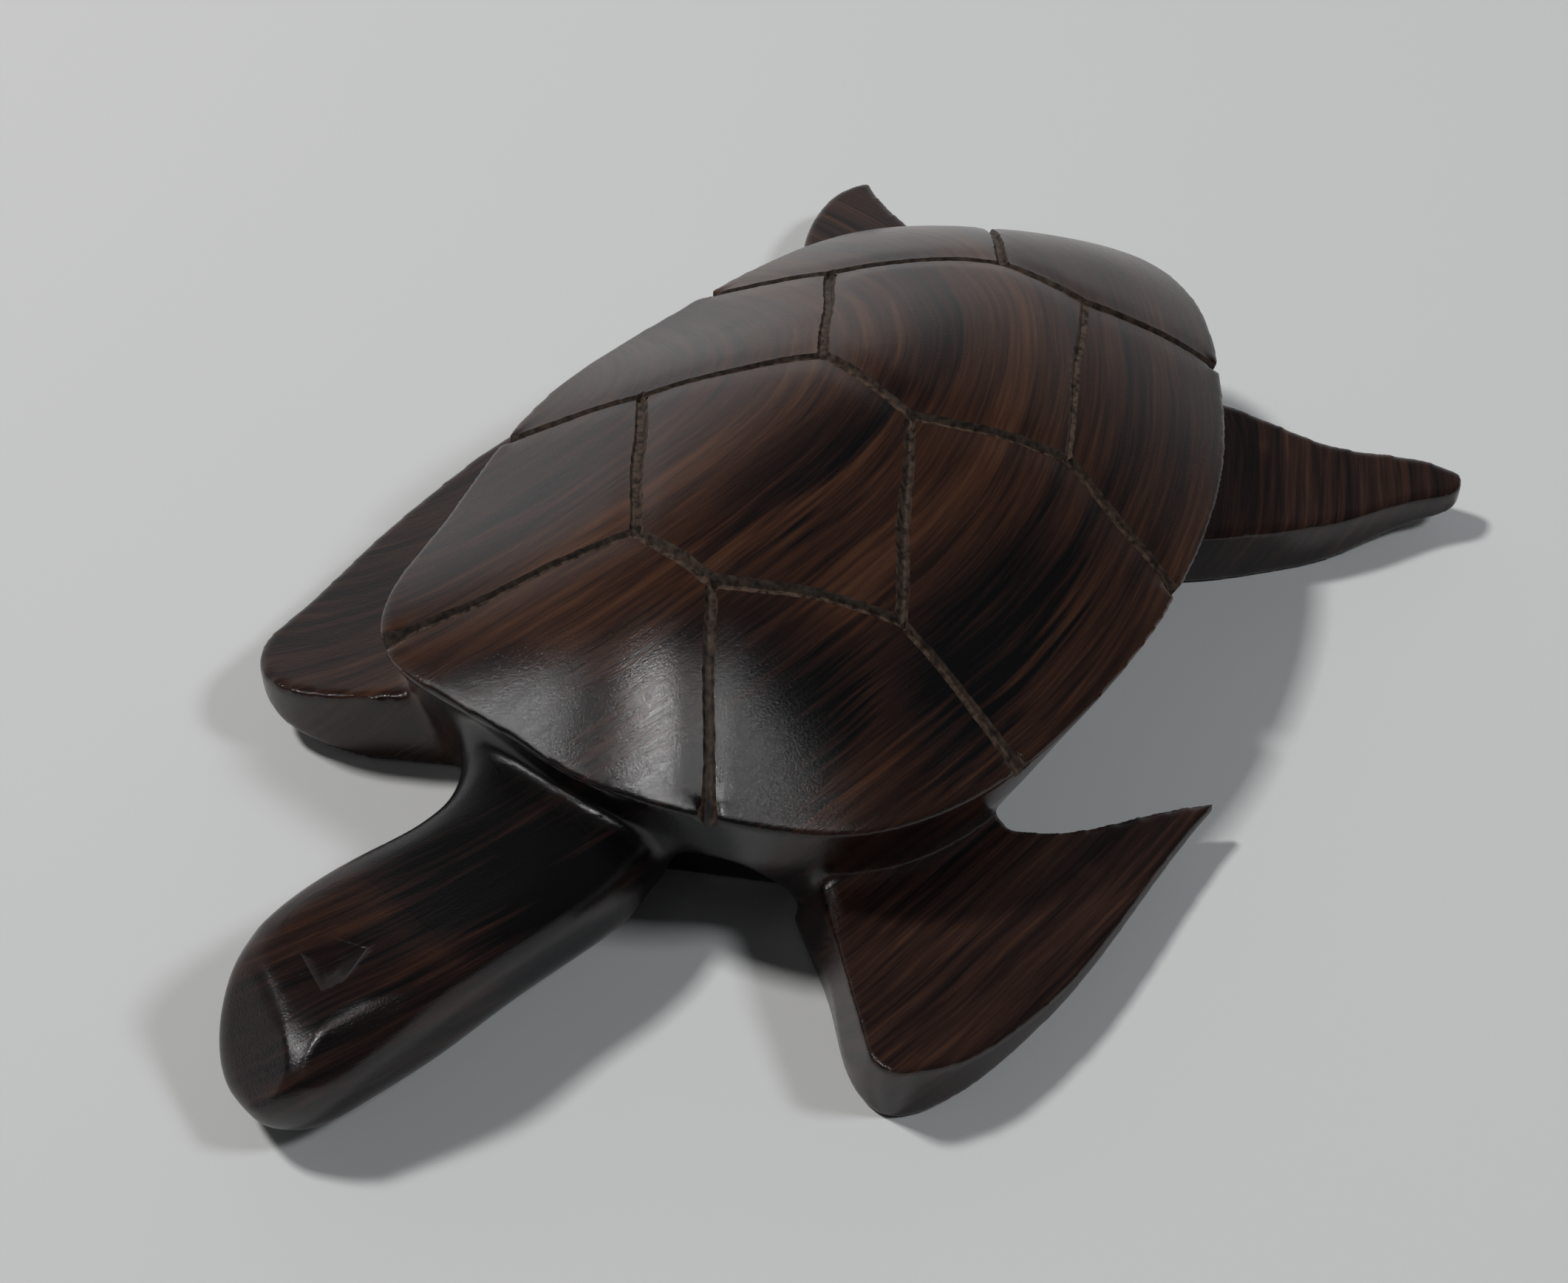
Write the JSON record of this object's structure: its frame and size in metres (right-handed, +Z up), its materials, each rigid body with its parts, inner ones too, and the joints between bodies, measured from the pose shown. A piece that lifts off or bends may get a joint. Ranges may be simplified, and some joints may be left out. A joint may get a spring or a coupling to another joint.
{
  "type": "sea turtle figurine",
  "caption": "Sea turtle carved from dark polished hardwood, with a domed shell cut into scutes by grooves, a long neck and swept flippers.",
  "frame": {"origin": "on the resting plane, at the middle of the flat belly, under the highest part of the shell", "axes": "+Z up from the table, -Y the way the turtle looks, +X towards its left side"},
  "size_m": [0.101, 0.1551, 0.0362],
  "materials": {
    "shell_wood": "near-black hardwood with red-brown streaks, sanded and wax-polished to a soft sheen, dusty in the grooves",
    "body_wood": "the same block of dark hardwood, darker towards the belly, wax-polished to a soft sheen"
  },
  "bodies": {
    "root": {"shell": "shell_wood", "body": "body_wood", "head_and_neck": "body_wood", "front_left_flipper": "body_wood", "front_right_flipper": "body_wood", "rear_left_flipper": "body_wood", "rear_right_flipper": "body_wood"}
  },
  "joints": []
}
